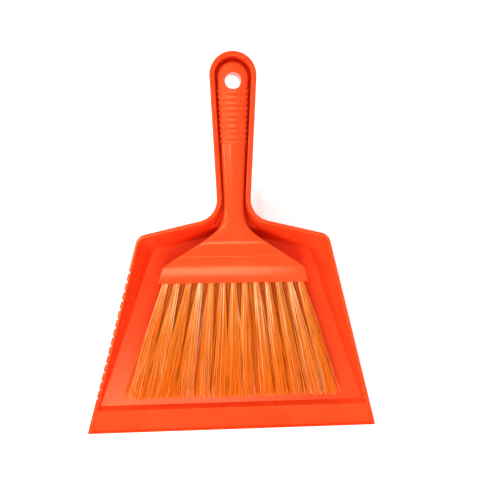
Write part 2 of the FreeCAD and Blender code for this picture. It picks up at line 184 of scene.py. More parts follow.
def moulded_surface() -> Tree:
    """Group for moulded plastic: flow mottle, fine scuffs and a height for bump.

    Returns:
        The node group, shared by both mouldings.
    """
    name = "moulded_surface"
    if name in bpy.data.node_groups:
        return bpy.data.node_groups[name]
    amounts = {"Scuff Amount": 1.0, "Grain Amount": 1.0}
    results = dict.fromkeys(("Mottle", "Scuffs", "Height"), "NodeSocketFloat")
    tree = new_group(name, amounts, results)
    given = tree.nodes["in"]
    result = tree.nodes["out"]
    flow = noise(tree, 22.0, 4.0, (1.0, 0.45, 1.0), 0.6)
    cloud = remap(tree, flow.outputs["Fac"], 0.3, 0.7, 0.0, 1.0)
    link(tree, cloud, result.inputs["Mottle"])

    along = noise(tree, 900.0, 2.0, (1.0, 0.035, 0.6))
    across = noise(tree, 760.0, 2.0, (0.05, 1.0, 0.6))
    patches = noise(tree, 38.0, 3.0)
    along_lines = remap(tree, along.outputs["Fac"], 0.66, 0.74, 0.0, 1.0)
    across_lines = remap(tree, across.outputs["Fac"], 0.67, 0.75, 0.0, 1.0)
    where = remap(tree, patches.outputs["Fac"], 0.48, 0.68, 0.0, 1.0)
    lines = combine(tree, "MAXIMUM", along_lines, across_lines)
    scuffs = combine(tree, "MULTIPLY", lines, where)
    scaled = combine(tree, "MULTIPLY", scuffs, given.outputs["Scuff Amount"])
    link(tree, scaled, result.inputs["Scuffs"])

    peel = noise(tree, 520.0, 2.0)
    grain = combine(tree, "MULTIPLY", peel.outputs["Fac"], given.outputs["Grain Amount"])
    warp = combine(tree, "MULTIPLY", flow.outputs["Fac"], 1.6)
    height = combine(tree, "ADD", grain, warp)
    scored = combine(tree, "SUBTRACT", height, scaled)
    link(tree, scored, result.inputs["Height"])
    return tree


def principled(name: str) -> tuple[bpy.types.Material, bpy.types.Node]:
    """Start a material.

    Args:
        name: the material's name.

    Returns:
        The material and its Principled BSDF node.
    """
    material = bpy.data.materials.new(name)
    material.use_nodes = True
    return material, material.node_tree.nodes["Principled BSDF"]


def mix_colours(tree: Tree, factor: Socket, first: Socket | Colour, second: Socket | Colour) -> Socket:
    """Mix two colours, each a socket or an RGB triple.

    Args:
        tree: where the node goes.
        factor: the mix.
        first: colour at 0.
        second: colour at 1.

    Returns:
        The mixed colour's socket.
    """
    node = tree.nodes.new("ShaderNodeMix")
    node.data_type = "RGBA"
    link(tree, factor, node.inputs["Factor"])
    for label, colour in (("A", first), ("B", second)):
        socket = next(item for item in node.inputs if item.name == label and item.type == "RGBA")
        if isinstance(colour, tuple):
            socket.default_value = (*colour, 1.0)
        else:
            link(tree, colour, socket)
    return next(item for item in node.outputs if item.type == "RGBA")


def bump_normal(tree: Tree, height: Socket, strength: float, distance: float) -> Socket:
    """Bump normal from a height.

    Args:
        tree: where the node goes.
        height: the height's socket.
        strength: how strong the bump is.
        distance: depth that a height of 1 stands for, in metres.

    Returns:
        The normal's socket.
    """
    bump = tree.nodes.new("ShaderNodeBump")
    bump.inputs["Strength"].default_value = strength
    bump.inputs["Distance"].default_value = distance
    link(tree, height, bump.inputs["Height"])
    return bump.outputs["Normal"]


@dataclass(frozen=True)
class MouldedPlastic:
    """Glossy moulded polypropylene."""

    name: str
    deep: Colour
    bright: Colour
    worn: Colour = (0.95, 0.22, 0.1)
    sheen: Colour = (1.0, 0.5, 0.26)
    glow: Colour = (1.0, 0.3, 0.12)
    roughness: float = 0.27
    scuffs: float = 0.5
    bump: float = 0.25
    bump_depth: float = 0.2 * MM
    glow_depth: float = 6.0 * MM

    def make(self) -> bpy.types.Material:
        """Build the material.

        Returns:
            The finished material.
        """
        material, shader = principled(self.name)
        tree = material.node_tree
        surface = tree.nodes.new("ShaderNodeGroup")
        surface.node_tree = moulded_surface()
        surface.inputs["Scuff Amount"].default_value = self.scuffs
        colour = mix_colours(tree, surface.outputs["Mottle"], self.deep, self.bright)
        faded = mix_colours(tree, surface.outputs["Scuffs"], colour, self.worn)
        link(tree, faded, shader.inputs["Base Color"])
        smoothest, roughest = self.roughness - 0.03, self.roughness + 0.05
        base = remap(tree, surface.outputs["Mottle"], 0.0, 1.0, smoothest, roughest)
        rubbed = combine(tree, "MULTIPLY_ADD", surface.outputs["Scuffs"], 0.25)
        link(tree, base, rubbed.node.inputs[2])
        link(tree, rubbed, shader.inputs["Roughness"])
        relief = bump_normal(tree, surface.outputs["Height"], self.bump, self.bump_depth)
        link(tree, relief, shader.inputs["Normal"])
        shader.inputs["IOR"].default_value = 1.49
        shader.inputs["Specular IOR Level"].default_value = 0.42
        shader.inputs["Specular Tint"].default_value = (*self.sheen, 1.0)
        shader.inputs["Subsurface Weight"].default_value = 0.5
        shader.inputs["Subsurface Radius"].default_value = self.glow
        shader.inputs["Subsurface Scale"].default_value = self.glow_depth
        return material


@dataclass(frozen=True)
class Filament:
    """Extruded brush filament, with painted shade and painted highlights picked by each strand's tone,
    and deeper towards the tip.
    """

    name: str = "bristle_filament"
    root: Colour = (0.92, 0.34, 0.08)
    middle: Colour = (0.9, 0.23, 0.018)
    tip: Colour = (0.9, 0.165, 0.006)
    # Painted highlight: pale streaks near the head, where strands catch the lamps.
    pale: Colour = (1.0, 0.74, 0.42)
    # Painted shade: dark red for strands deep in the bundle and in the gaps between tufts near the head.
    shade: Colour = (0.72, 0.06, 0.006)
    sheen: Colour = (1.0, 0.6, 0.3)
    glow: Colour = (1.0, 0.45, 0.2)

    def make(self) -> bpy.types.Material:
        """Build the material. In the strand map, U is a filament's tone, which sets its painted shade and
        painted highlight, and V its length.

        Returns:
            The finished material.
        """
        material, shader = principled(self.name)
        tree = material.node_tree
        strand = tree.nodes.new("ShaderNodeUVMap")
        strand.uv_map = "strand"
        split = tree.nodes.new("ShaderNodeSeparateXYZ")
        link(tree, strand.outputs["UV"], split.inputs["Vector"])
        shade, along = split.outputs["X"], split.outputs["Y"]
        upper = remap(tree, along, 0.0, 0.42, 0.0, 1.0)
        lower = remap(tree, along, 0.45, 1.0, 0.0, 1.0)
        body = mix_colours(tree, upper, self.root, self.middle)
        length = mix_colours(tree, lower, body, self.tip)
        # Painted highlight: strands of high tone turn pale, most near the head and in noisy streaks.
        highlit_strands = remap(tree, shade, 0.62, 0.85, 0.0, 1.0)
        highlight_fade = remap(tree, along, 0.2, 0.7, 1.0, 0.3)
        light = combine(tree, "MULTIPLY", highlit_strands, highlight_fade)
        highlight_streaks = noise(tree, 160.0, 2.0, (1.0, 0.12, 1.0))
        highlight_patch = remap(tree, highlight_streaks.outputs["Fac"], 0.42, 0.62, 0.35, 1.0)
        # Painted shade: strands of low tone darken towards the dark red, most near the head.
        shaded_strands = remap(tree, shade, 0.1, 0.5, 1.0, 0.0)
        depth = remap(tree, along, 0.2, 0.75, 1.0, 0.4)
        shaded = mix_colours(tree, combine(tree, "MULTIPLY", shaded_strands, depth), length, self.shade)
        mixed = mix_colours(tree, combine(tree, "MULTIPLY", light, highlight_patch), shaded, self.pale)
        link(tree, mixed, shader.inputs["Base Color"])
        link(tree, remap(tree, shade, 0.0, 1.0, 0.24, 0.42), shader.inputs["Roughness"])
        ripple = noise(tree, 1400.0, 1.0, (1.0, 0.1, 1.0))
        link(tree, bump_normal(tree, ripple.outputs["Fac"], 0.2, 0.1 * MM), shader.inputs["Normal"])
        shader.inputs["IOR"].default_value = 1.5
        shader.inputs["Specular Tint"].default_value = (*self.sheen, 1.0)
        shader.inputs["Subsurface Weight"].default_value = 0.25
        shader.inputs["Subsurface Radius"].default_value = self.glow
        shader.inputs["Subsurface Scale"].default_value = 1.5 * MM
        return material


@dataclass(frozen=True)
class DrawnSteel:
    """Flattened wire, brushed along its length by the drawing die."""

    name: str = "anchor_wire"
    dark: Colour = (0.42, 0.42, 0.43)
    light: Colour = (0.68, 0.68, 0.69)

    def make(self) -> bpy.types.Material:
        """Build the material.

        Returns:
            The finished material.
        """
        material, shader = principled(self.name)
        tree = material.node_tree
        drawn = noise(tree, 2200.0, 2.0, (0.06, 1.0, 1.0))
        metal = mix_colours(tree, drawn.outputs["Fac"], self.dark, self.light)
        link(tree, metal, shader.inputs["Base Color"])
        link(tree, remap(tree, drawn.outputs["Fac"], 0.0, 1.0, 0.25, 0.5), shader.inputs["Roughness"])
        shader.inputs["Metallic"].default_value = 1.0
        return material


@dataclass(frozen=True)
class StudioFloor:
    """Pale seamless sheet that the set lies on."""

    name: str = "studio_floor"
    tone: float = 0.9
    lift: float = 0.55

    def make(self) -> bpy.types.Material:
        """Build the material.

        Returns:
            The finished material.
        """
        material, shader = principled(self.name)
        tree = material.node_tree
        fibre = noise(tree, 300.0, 2.0)
        pale = mix_colours(tree, fibre.outputs["Fac"], (self.tone - 0.01,) * 3, (self.tone,) * 3)
        link(tree, pale, shader.inputs["Base Color"])
        shader.inputs["Roughness"].default_value = 0.9
        shader.inputs["Emission Color"].default_value = (1.0, 1.0, 1.0, 1.0)
        shader.inputs["Emission Strength"].default_value = self.lift
        return material


# ---------------------------------------------------------------- mesh tools


def only(piece: bpy.types.Object) -> None:
    """Select one object alone and make it active.

    Args:
        piece: the object.
    """
    bpy.ops.object.select_all(action="DESELECT")
    piece.select_set(True)
    bpy.context.view_layer.objects.active = piece


def apply_modifier(piece: bpy.types.Object, kind: str, **settings: object) -> None:
    """Add a modifier with settings and apply it.

    Args:
        piece: the object.
        kind: Blender's modifier type.
        **settings: its properties.
    """
    only(piece)
    modifier = piece.modifiers.new(kind.lower(), kind)
    for key, setting in settings.items():
        setattr(modifier, key, setting)
    bpy.ops.object.modifier_apply(modifier=modifier.name)


def smooth(piece: bpy.types.Object, degrees: float) -> None:
    """Shade smooth, with edges sharper than an angle kept sharp."""
    only(piece)
    bpy.ops.object.shade_smooth_by_angle(angle=math.radians(degrees))


def dress(piece: bpy.types.Object, material: bpy.types.Material) -> None:
    """Give a piece its one material.

    Args:
        piece: the object.
        material: its finish.
    """
    piece.data.materials.clear()
    piece.data.materials.append(material)


def finish_piece(piece: bpy.types.Object, body: Body, *nodes: str) -> None:
    """Put a piece on its body in place of its CAD nodes, and report it.

    Args:
        piece: the object.
        body: the body that it moves with.
        *nodes: the CAD nodes that it stands for.
    """
    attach(piece, body.value)
    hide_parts(*nodes)
    LOG.info("%s: %d faces", piece.name, len(piece.data.polygons))


def sweep(name: str, rings: list[list[Point]]) -> bpy.types.Object:
    """Extrude a closed ring of edges from section to section.

    Args:
        name: the object's name.
        rings: the sections' corners, each with the same number of them.

    Returns:
        The open tube, whose "order" and "level" number the corners of a section and the sections.
    """
    bpy.ops.object.select_all(action="DESELECT")
    bpy.ops.mesh.primitive_circle_add(vertices=len(rings[0]), radius=MM)
    piece = bpy.context.object
    piece.name = name
    piece.data.attributes.new("order", "INT", "POINT")
    piece.data.attributes.new("level", "INT", "POINT")
    for number, corner in enumerate(rings[0]):
        piece.data.vertices[number].co = corner
        piece.data.attributes["order"].data[number].value = number
    bpy.ops.object.mode_set(mode="EDIT")
    bpy.ops.mesh.select_all(action="SELECT")
    for number, ring in enumerate(rings[1:], 1):
        bpy.ops.mesh.extrude_edges_move()
        mesh = bmesh.from_edit_mesh(piece.data)
        order = mesh.verts.layers.int["order"]
        level = mesh.verts.layers.int["level"]
        for corner in mesh.verts:
            if corner.select:
                corner.co = ring[corner[order]]
                corner[level] = number
        bmesh.update_edit_mesh(piece.data)
    bpy.ops.object.mode_set(mode="OBJECT")
    return piece


def ease(start: float, end: float, at: float) -> float:
    """Smooth step from 0 at start to 1 at end."""
    share = min(1.0, max(0.0, (at - start) / (end - start)))
    return share * share * (3.0 - 2.0 * share)


def trace(points: list[tuple[float, float]], at: float) -> float:
    """Height of a polyline of (place, height) points at a place."""
    return float(np.interp(at, [point[0] for point in points], [point[1] for point in points]))


# ---------------------------------------------------------------- dust pan


@dataclass
class DustPan:
    """The pan: tray, ramp, beaded rim with its comb, and channelled handle."""

    bead_radius: float = 1.0 * MM
    edge_radius: float = 0.3 * MM
    sharp: float = math.radians(26.0)
    hole_reach: float = 9.0 * MM
    hole_from_end: float = 23.4 * MM
    crest_from_lip: float = 27.0 * MM
    comb_side: float = -70.0 * MM
    node: str = "dustpan"
    crest: float = field(init=False)
    hole: Vector = field(init=False)

    def __post_init__(self) -> None:
        """Read the moulding's ends from the frame."""
        low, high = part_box(self.node)
        self.crest = low.y + self.crest_from_lip
        self.hole = Vector((0.0, high.y - self.hole_from_end))

    def build(self) -> bpy.types.Object:
        """Round the top of the rim's bead and the moulding's small sharp edges.

        Returns:
            The finished shell.
        """
        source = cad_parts[self.node]
        piece = bpy.data.objects.new("pan_shell", source.data.copy())
        bpy.context.scene.collection.objects.link(piece)
        only(piece)
        bpy.ops.object.mode_set(mode="EDIT")
        bpy.ops.mesh.select_all(action="SELECT")
        bpy.ops.mesh.remove_doubles(threshold=0.01 * MM)
        bpy.ops.mesh.dissolve_limited(angle_limit=math.radians(0.6))
        bpy.ops.object.mode_set(mode="OBJECT")
        self.round_edges(piece, self.bead_radius, 4, self.on_bead, clamped=False)
        self.round_edges(piece, self.edge_radius, 2, self.is_sharp, clamped=True)
        smooth(piece, 32.0)
        apply_modifier(piece, "WEIGHTED_NORMAL", weight=80, keep_sharp=True)
        return piece

    def round_edges(
        self, piece: bpy.types.Object, radius: float, segments: int,
        pick: Callable[[bmesh.types.BMEdge], bool], clamped: bool,
    ) -> None:
        """Round the edges that a test picks.

        Args:
            piece: the shell.
            radius: how far the rounding reaches from the edge.
            segments: steps of the rounding.
            pick: the test.
            clamped: whether the radius shrinks where there is no room for it.
        """
        mesh = bmesh.new()
        mesh.from_mesh(piece.data)
        weights = mesh.edges.layers.float
        layer = weights.get("bevel_weight_edge") or weights.new("bevel_weight_edge")
        for edge in mesh.edges:
            edge[layer] = 1.0 if len(edge.link_faces) == 2 and pick(edge) else 0.0
        mesh.to_mesh(piece.data)
        mesh.free()
        apply_modifier(
            piece, "BEVEL", width=radius, segments=segments, limit_method="WEIGHT",
            use_clamp_overlap=clamped, loop_slide=True)

    def is_sharp(self, edge: bmesh.types.BMEdge) -> bool:
        """Whether an edge is sharp."""
        return edge.calc_face_angle(0.0) > self.sharp

    def on_bead(self, edge: bmesh.types.BMEdge) -> bool:
        """Whether an edge runs along the top of the rim's bead.

        Args:
            edge: an edge of the shell.

        Returns:
            False on the ramp, around the hanging hole and on the comb.
        """
        facing_up = max(face.normal.z for face in edge.link_faces) >= 0.9
        if not self.is_sharp(edge) or not edge.is_convex or not facing_up:
            return False
        middle = (edge.verts[0].co + edge.verts[1].co) / 2
        if middle.y < self.crest or (middle.xy - self.hole).length < self.hole_reach:
            return False
        facing_out = min(face.normal.x for face in edge.link_faces) < -0.2
        return not (middle.x < self.comb_side and facing_out)

    def dress(self, piece: bpy.types.Object) -> None:
        """Give the shell its plastic and put it in place.

        Args:
            piece: the shell.
        """
        plastic = MouldedPlastic(
            "pan_plastic", deep=(0.9, 0.062, 0.01), bright=(0.95, 0.078, 0.014))
        dress(piece, plastic.make())
        finish_piece(piece, Body.PAN, self.node)


# ---------------------------------------------------------------- brush body


@dataclass
class BrushBody:
    """The brush moulding: ribbed grip with a hanging hole, flaring to a tiered head."""

    node: str = "brush_body"
    slope: float = 0.0655
    head_half: float = 64.0 * MM
    side_run: float = 13.2 * MM
    side_taper: float = 3.7 * MM
    upper_half: float = 28.2 * MM
    upper_run: float = 33.6 * MM
    lower_run: float = 22.4 * MM
    front_rise: float = 26.5 * MM
    lower_rise: float = 31.5 * MM
    neck_half: float = 8.4 * MM
    neck_run: float = 71.5 * MM
    end_half: float = 12.7 * MM
    thickness: float = 17.2 * MM
    heel_run: float = 27.0 * MM
    heel_end_run: float = 44.8 * MM
    hole_radius: float = 6.65 * MM
    hole_from_end: float = 15.6 * MM
    rib_pitch: float = 4.51 * MM
    rib_width: float = 3.3 * MM
    rib_height: float = 0.7 * MM
    rib_start: float = 8.1 * MM
    rib_count: int = 10
    core_wall: float = 2.6 * MM
    core_draft: float = 0.94
    crown_room: float = 2.6 * MM
    crease_radius: float = 2.4 * MM
    ridge_drop: float = 0.3 * MM
    swell: float = 1.3 * MM
    foot: float = 1.2 * MM
    flare_reach: float = 22.0 * MM
    neck_lead: float = 0.045
    turns: int = 28
    front: float = field(init=False)
    base: float = field(init=False)
    end: float = field(init=False)
    cap_centre: float = field(init=False)
    top_at_end: float = field(init=False)
    hole_y: float = field(init=False)

    def __post_init__(self) -> None:
        """Read the moulding's ends from the frame."""
        low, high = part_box(self.node)
        self.front = low.y
        self.base = low.z
        self.end = high.y
        self.cap_centre = self.end - self.end_half
        self.top_at_end = high.z - self.slope * (self.end - self.cap_centre)
        self.hole_y = self.end - self.hole_from_end

    def handle_top(self, y: float) -> float:
        """Height of the handle's ridge at a place along it."""
        return self.top_at_end + self.slope * (y - self.cap_centre) - self.ridge_drop

    def half_width(self, y: float) -> float:
        """Half width of the moulding.

        Args:
            y: place along the brush.

        Returns:
            The half width.
        """
        run = y - self.front
        shoulder = (self.side_run, self.head_half - self.side_taper)
        if run <= self.upper_run:
            return trace([(0.0, self.head_half), shoulder, (self.upper_run, self.upper_half)], run)
        if run >= self.neck_run:
            cap = (self.cap_centre - self.front, self.end_half)
            return trace([(self.neck_run, self.neck_half), cap], run)
        return self.flare(run)

    def flare(self, run: float) -> float:
        """Half width on the curve between the upper crease and the neck.

        It is a Bezier curve that leaves the head along its diagonal side and
        enters the neck along the handle.

        Args:
            run: distance from the front of the head.

        Returns:
            The half width.
        """
        diagonal = (self.upper_run - self.side_run) / (self.head_half - self.side_taper - self.upper_half)
        start = Vector((self.upper_half, self.upper_run))
        finish = Vector((self.neck_half, self.neck_run))
        first = start + Vector((-1.0, diagonal)).normalized() * self.flare_reach
        second = finish + Vector((-self.neck_lead, -1.0)).normalized() * self.flare_reach
        low, high = 0.0, 1.0
        for _ in range(24):
            middle = (low + high) / 2
            point = self.bezier(start, first, second, finish, middle)
            low, high = (middle, high) if point.y < run else (low, middle)
        return point.x

    @staticmethod
    def bezier(a: Vector, b: Vector, c: Vector, d: Vector, t: float) -> Vector:
        """Point of a cubic Bezier curve."""
        s = 1.0 - t
        return a * s ** 3 + b * 3 * s * s * t + c * 3 * s * t * t + d * t ** 3

    def top(self, y: float) -> float:
        """Height of the middle of the upper surface.

        Args:
            y: place along the brush.

        Returns:
            The height, with the creases of the head eased.
        """
        run = y - self.front
        creased = [
            (0.0, self.front_rise), (self.lower_run, self.lower_rise),
            (self.upper_run, self.handle_top(self.front + self.upper_run)),
            (2 * self.upper_run, self.handle_top(self.front + 2 * self.upper_run)),
        ]
        if run < self.upper_run + self.crease_radius:
            swell = self.swell * math.sin(math.pi * min(1.0, run / self.lower_run))
            reach = self.crease_radius * ease(self.lower_run, self.upper_run - self.crease_radius, run)
            steps = [trace(creased, run + reach * step / 4) for step in range(-4, 5)]
            return sum(steps) / len(steps) + swell
        return self.handle_top(y)

    def bottom(self, y: float) -> float:
        """Height of the underside.

        Args:
            y: place along the brush.

        Returns:
            The height.
        """
        run = y - self.front
        heel = self.front + self.heel_end_run
        under = self.handle_top(heel) - self.thickness
        if run < self.heel_end_run:
            return trace([(0.0, self.base), (self.heel_run, self.base), (self.heel_end_run, under)], run)
        return self.handle_top(y) - self.thickness

    def rib(self, y: float) -> float:
        """Height of the grip ribs.

        Args:
            y: place along the brush.

        Returns:
            How far a rib stands up there, 0 between ribs.
        """
        along = (self.hole_y - self.rib_start - y) / self.rib_pitch
        nearest = round(along)
        if nearest < 0 or nearest >= self.rib_count:
            return 0.0
        away = abs(along - nearest) * self.rib_pitch / (self.rib_width / 2)
        return self.rib_height * math.cos(math.pi / 2 * away) ** 1.2 if away < 1.0 else 0.0

    def section(self, y: float) -> list[tuple[float, float]]:
        """Right half of the moulding's section, from the ridge down to the middle of the underside.

        Args:
            y: place along the brush.

        Returns:
            Points (half width, height).
        """
        grip = ease(self.upper_run, self.neck_run, y - self.front)
        raised = self.rib(y)
        half = self.half_width(y) + raised
        top = self.top(y) + raised
        bottom = self.bottom(y)
        crown = (0.5 + 2.3 * grip) * MM
        radius = min((1.6 + 3.0 * grip) * MM, half * 0.6)
        foot = self.foot
        points = []
        flat = half - radius
        for step in range(9):
            x = flat * step / 8
            points.append((x, top - crown * (x / half) ** 2))
        shoulder = top - crown * (flat / half) ** 2
        for step in range(1, 7):
            angle = math.radians(15.0 * step)
            points.append((flat + radius * math.sin(angle), shoulder - radius * (1 - math.cos(angle))))
        for share in (0.35, 0.7):
            points.append((half, shoulder - radius + share * (bottom + foot - shoulder + radius)))
        for step in range(4):
            angle = math.radians(30.0 * step)
            points.append((half - foot * (1 - math.cos(angle)), bottom + foot * (1 - math.sin(angle))))
        points.append((half * 0.5, bottom))
        points.append((0.0, bottom))
        return points

    def places(self) -> list[float]:
        """Places along the brush where a section is taken, closer at creases and ribs.

        Returns:
            The places, from the front of the head to the start of the round cap.
        """
        front = self.front
        stride = 2.6
        closest = 0.12 * MM
        around = (-2.4, -1.2, -0.5, 0.0, 0.5, 1.2, 2.4)
        fixed = {0.0, 0.25, 0.7, 1.4, 3.0}
        for crease in (self.side_run, self.lower_run, self.upper_run, self.heel_run, self.heel_end_run):
            fixed.update(crease / MM + offset for offset in around)
        runs = sorted({step * MM for step in fixed} | {step * stride * MM for step in range(2, 36)})
        ribs = [
            self.hole_y - self.rib_start - (number / 8 - 0.5) * self.rib_pitch
            for number in range(8 * self.rib_count + 1)
        ]
        grip_start = min(ribs)
        places = [front + run for run in runs if front + run < grip_start] + sorted(ribs)
        rest = max(ribs)
        places += [rest + (self.cap_centre - rest) * step / 4 for step in range(1, 5)]
        cleaned = [places[0]]
        for place in places[1:]:
            if place - cleaned[-1] > closest:
                cleaned.append(place)
        return cleaned

    def build(self) -> bpy.types.Object:
        """Loft the moulding, close its ends, drill it and core it.

        Returns:
            The finished shell.
        """
        rings = []
        for y in self.places():
            half = self.section(y)
            right = [(x, y, z) for x, z in half]
            left = [(-x, y, z) for x, z in half[-2:0:-1]]
            rings.append(right + left)
        piece = sweep("brush_shell", rings)
        self.close_ends(piece, len(rings) - 1, len(self.section(self.cap_centre)))
        self.soften_front(piece)
        self.drill(piece)
        smooth(piece, 30.0)
        return piece

    def close_ends(self, piece: bpy.types.Object, last: int, half: int) -> None:
        """Fill the front of the head, and spin half of the last section to close the grip.

        Args:
            piece: the open tube.
            last: level of its last section.
            half: how many corners the right half of a section has.
        """
        only(piece)
        bpy.ops.object.mode_set(mode="EDIT")
        self.select_corners(piece, lambda order, level: level == 0)
        bpy.ops.mesh.edge_face_add()
        self.select_corners(piece, lambda order, level: level == last and order < half)
        bpy.ops.mesh.spin(
            steps=self.turns, angle=-math.pi, center=(0.0, self.cap_centre, 0.0), axis=(0.0, 0.0, 1.0))
        mesh = bmesh.from_edit_mesh(piece.data)
        for corner in mesh.verts:
            corner.co.z += self.slope * max(0.0, corner.co.y - self.cap_centre)
        bmesh.update_edit_mesh(piece.data)
        bpy.ops.mesh.select_all(action="SELECT")
        bpy.ops.mesh.remove_doubles(threshold=0.02 * MM)
        bpy.ops.mesh.normals_make_consistent(inside=False)
        bpy.ops.object.mode_set(mode="OBJECT")

    @staticmethod
    def select_corners(piece: bpy.types.Object, pick: Callable[[int, int], bool]) -> None:
        """Select the corners that a test picks by their order and level, in edit mode.

        Args:
            piece: the tube.
            pick: the test.
        """
        bpy.ops.mesh.select_all(action="DESELECT")
        mesh = bmesh.from_edit_mesh(piece.data)
        order = mesh.verts.layers.int["order"]
        level = mesh.verts.layers.int["level"]
        for corner in mesh.verts:
            corner.select = pick(corner[order], corner[level])
        mesh.select_flush(True)
        bmesh.update_edit_mesh(piece.data)

    def soften_front(self, piece: bpy.types.Object) -> None:
        """Round the edge around the front face of the head.

        Args:
            piece: the shell.
        """
        mesh = bmesh.new()
        mesh.from_mesh(piece.data)
        layer = mesh.edges.layers.float.new("bevel_weight_edge")
        for edge in mesh.edges:
            if all(abs(corner.co.y - self.front) < 0.05 * MM for corner in edge.verts):
                edge[layer] = 1.0
        mesh.to_mesh(piece.data)
        mesh.free()
        apply_modifier(
            piece, "BEVEL", width=0.22 * MM, segments=2, limit_method="WEIGHT", use_clamp_overlap=False)

    def drill(self, piece: bpy.types.Object) -> None:
        """Cut the hanging hole and the cores of the underside.

        Args:
            piece: the shell.
        """
        centre = Vector((0.0, self.hole_y, self.handle_top(self.hole_y) - self.thickness / 2))
        bpy.ops.object.select_all(action="DESELECT")
        bpy.ops.mesh.primitive_cylinder_add(
            vertices=72, radius=self.hole_radius, depth=3 * self.thickness, location=centre,
            rotation=(math.atan(self.slope), 0.0, 0.0))
        tools = [bpy.context.object]
        tools.append(self.core(
            self.front + self.lower_run, self.front + self.upper_run + 3 * MM,
            self.upper_half - 2 * self.core_wall, self.upper_half - 3 * self.core_wall))
        tools.append(self.core(
            self.front + self.neck_run - 16 * MM, self.hole_y - self.hole_radius - 2 * self.core_wall,
            self.neck_half - self.core_wall, self.end_half - self.core_wall - 0.6 * MM))
        for tool in tools:
            apply_modifier(piece, "BOOLEAN", operation="DIFFERENCE", object=tool, solver="EXACT")
            bpy.data.objects.remove(tool)

    def core(self, start: float, end: float, half_start: float, half_end: float) -> bpy.types.Object:
        """Tapered block that cuts a core out of the underside.

        Args:
            start: where the core starts along the brush.
            end: where it ends.
            half_start: half width at its start.
            half_end: half width at its end.

        Returns:
            The block, to be used as a cutter.
        """
        bpy.ops.object.select_all(action="DESELECT")
        bpy.ops.mesh.primitive_cube_add(size=2.0)
        block = bpy.context.object
        for corner in block.data.vertices:
            far = corner.co.y > 0
            y = end if far else start
            half = half_end if far else half_start
            roof = self.top(y) - self.core_wall - self.crown_room
            draft = 1.0 if corner.co.z < 0 else self.core_draft
            z = -5 * MM if corner.co.z < 0 else roof
            corner.co = Vector((math.copysign(half * draft, corner.co.x), y, z))
        return block

    def dress(self, piece: bpy.types.Object) -> None:
        """Give the shell its plastic and put it in place.

        Args:
            piece: the shell.
        """
        plastic = MouldedPlastic(
            "brush_plastic", deep=(0.92, 0.07, 0.012), bright=(0.95, 0.084, 0.016),
            roughness=0.2, scuffs=0.15)
        dress(piece, plastic.make())
        finish_piece(piece, Body.BRUSH, self.node)


# ---------------------------------------------------------------- tufts


